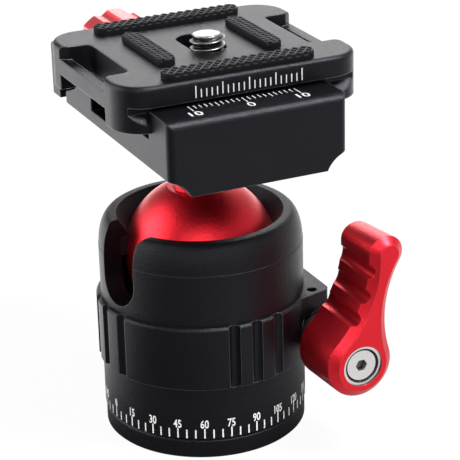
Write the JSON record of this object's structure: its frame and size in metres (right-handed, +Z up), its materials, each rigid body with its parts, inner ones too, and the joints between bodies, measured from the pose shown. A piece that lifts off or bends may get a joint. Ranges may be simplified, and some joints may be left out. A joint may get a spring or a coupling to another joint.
{
  "type": "tripod ball head",
  "caption": "Ball head with a panning base, a notched cup, a lever that wedges the seat, and a jaw clamp that carries a sliding quick release plate with rubber pads.",
  "frame": {"origin": "centre of the foot's underside, at the mouth of the tripod socket", "axes": "+Z up along the panning axis, +X along the plate's slide towards the lever's side, -Y towards the degree scale and the clamp's ruler"},
  "size_m": [0.0472, 0.0718, 0.0755],
  "materials": {
    "black": "black anodised, fine satin",
    "red": "red anodised, satin",
    "steel": "bright turned steel",
    "dark_steel": "dark oxide steel",
    "polymer": "black bearing plastic",
    "pad": "black moulded rubber, knurled top"
  },
  "bodies": {
    "base": {"base_disc": "black", "pan_washer": "polymer", "pan_wave_washer": "steel", "pan_nut": "dark_steel"},
    "housing": {"scale_sleeve": "black", "grip_collar": "black", "cup_housing": "black", "upper_seat_ring": "polymer", "floor_ring": "black", "seat_springs": "steel", "spindle_bush": "polymer", "spindle_pin": "dark_steel"},
    "seat": {"lower_seat": "polymer"},
    "wedge": {"wedge_nut": "steel"},
    "lever": {"lever_spindle": "steel", "main_lever": "red", "lever_cap_ring": "steel", "lever_screw": "steel", "lever_washer": "steel"},
    "ball": {"ball": "red"},
    "clamp": {"clamp_body": "black", "stem_bolt": "dark_steel", "stem_washer": "steel", "guide_pins": "steel", "jaw_springs": "steel"},
    "jaw": {"moving_jaw": "black"},
    "knob": {"clamp_screw": "steel", "clamp_knob": "red", "knob_screw": "dark_steel", "knob_washer": "steel"},
    "plate": {"qr_plate": "black", "pad_front": "pad", "pad_rear": "pad", "pad_left": "pad", "pad_right": "pad"},
    "clip": {"screw_clip": "steel"},
    "lift": {"screw_washer": "steel"},
    "screw": {"camera_screw": "steel"}
  },
  "joints": [
    {"name": "pan_turn", "type": "hinge", "parent": "base", "child": "housing", "pos_m": [0, 0, 0.0042], "axis": [0, 0, 1], "continuous": true},
    {"name": "lever_turn", "type": "hinge", "parent": "housing", "child": "lever", "pos_m": [0.017, -0.025, 0.0191], "axis": [0, 1, 0], "range_deg": [0, 100]},
    {"name": "wedge_slide", "type": "slide", "parent": "housing", "child": "wedge", "axis": [0, -1, 0], "range_m": [0, 0.00056]},
    {"name": "seat_lift", "type": "slide", "parent": "housing", "child": "seat", "axis": [0, 0, 1], "range_m": [0, 0.000223]},
    {"name": "ball_tilt", "type": "hinge", "parent": "housing", "child": "ball", "pos_m": [0, 0, 0.0336], "axis": [0.1977, -0.9803, 0], "range_deg": [-35, 90]},
    {"name": "clamp_spin", "type": "hinge", "parent": "ball", "child": "clamp", "pos_m": [0, 0, 0.0553], "axis": [0, 0, 1], "continuous": true},
    {"name": "jaw_slide", "type": "slide", "parent": "clamp", "child": "jaw", "axis": [0, 1, 0], "range_m": [0, 0.0025]},
    {"name": "knob_turn", "type": "hinge", "parent": "jaw", "child": "knob", "pos_m": [0, 0.035, 0.0613], "axis": [0, 1, 0], "range_deg": [0, 720]},
    {"name": "plate_slide", "type": "slide", "parent": "clamp", "child": "plate", "axis": [1, 0, 0], "range_m": [-0.0115, 0.0085]},
    {"name": "screw_shift", "type": "slide", "parent": "plate", "child": "clip", "axis": [0, 1, 0], "range_m": [-0.0002, 0.0058]},
    {"name": "screw_lift", "type": "slide", "parent": "clip", "child": "lift", "axis": [0, 0, 1], "range_m": [0, 0.0029]},
    {"name": "screw_turn", "type": "hinge", "parent": "lift", "child": "screw", "pos_m": [0.00136, -0.0027, 0.07], "axis": [0, 0, 1], "continuous": true}
  ],
  "couplings": [
    {"joint": "wedge_slide", "follows": "lever_turn", "m_per_rad": 0.00031831},
    {"joint": "seat_lift", "follows": "lever_turn", "m_per_rad": 0.00012732},
    {"joint": "jaw_slide", "follows": "knob_turn", "m_per_rad": 0.00015915}
  ]
}
